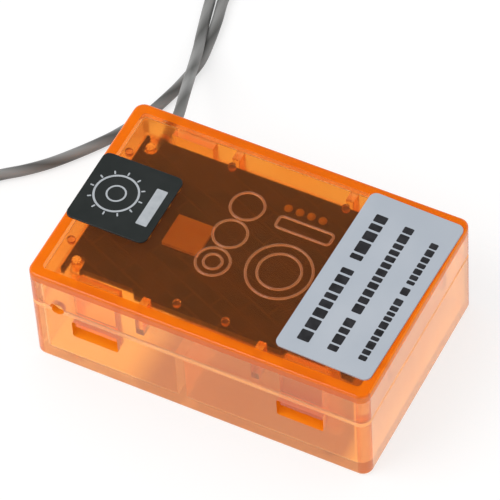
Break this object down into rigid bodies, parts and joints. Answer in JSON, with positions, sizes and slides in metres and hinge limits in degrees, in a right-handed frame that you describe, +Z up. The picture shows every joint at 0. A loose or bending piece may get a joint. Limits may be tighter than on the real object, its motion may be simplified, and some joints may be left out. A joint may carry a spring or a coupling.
{
  "type": "radio control receiver",
  "caption": "Small radio control receiver in a snap-fit translucent orange case, with a plug well underneath and a coax antenna lead.",
  "frame": {"origin": "middle of the case's bottom face, as it lies with its labelled cover up", "axes": "+X along the case's long side, +Y towards the wall that the antenna leaves, +Z up through the labelled cover"},
  "size_m": [0.065, 0.0901, 0.0156],
  "materials": {
    "orange_plastic": "clear moulded, glossy",
    "green_laminate": "solder mask",
    "black_resin": "matt",
    "gold_contact": "plated",
    "tinned_metal": "satin",
    "pale_ceramic": "matt",
    "yellow_resin": "matt",
    "clear_lens": "glossy",
    "silver_label": "satin film",
    "black_label": "satin film",
    "grey_jacket": "satin",
    "tip_insulation": "satin"
  },
  "bodies": {
    "root": {"case_base": "orange_plastic", "case_cover": "orange_plastic", "circuit_board": "green_laminate", "header_block": "black_resin", "shield_can": "tinned_metal", "main_chip": "black_resin", "radio_chip": "black_resin", "crystal": "tinned_metal", "regulator": "black_resin", "bind_light": "clear_lens", "tantalum_1": "yellow_resin", "tantalum_2": "yellow_resin", "long_label": "silver_label", "square_label": "black_label", "antenna_tail": "grey_jacket", "antenna_joint": "tinned_metal", "antenna_lead_out": "grey_jacket", "antenna_coil": "grey_jacket", "antenna_lead_back": "grey_jacket", "antenna_tip": "tip_insulation", "chip_part_1": "pale_ceramic", "chip_part_2": "pale_ceramic", "chip_part_3": "pale_ceramic", "chip_part_4": "pale_ceramic", "chip_part_5": "pale_ceramic", "chip_part_6": "pale_ceramic", "test_point_1": "tinned_metal", "test_point_2": "tinned_metal", "test_point_3": "tinned_metal", "test_point_4": "tinned_metal", "port_1_signal": "gold_contact", "port_1_power": "gold_contact", "port_1_ground": "gold_contact", "port_2_signal": "gold_contact", "port_2_power": "gold_contact", "port_2_ground": "gold_contact", "port_3_signal": "gold_contact", "port_3_power": "gold_contact", "port_3_ground": "gold_contact", "port_4_signal": "gold_contact", "port_4_power": "gold_contact", "port_4_ground": "gold_contact"}
  },
  "joints": []
}
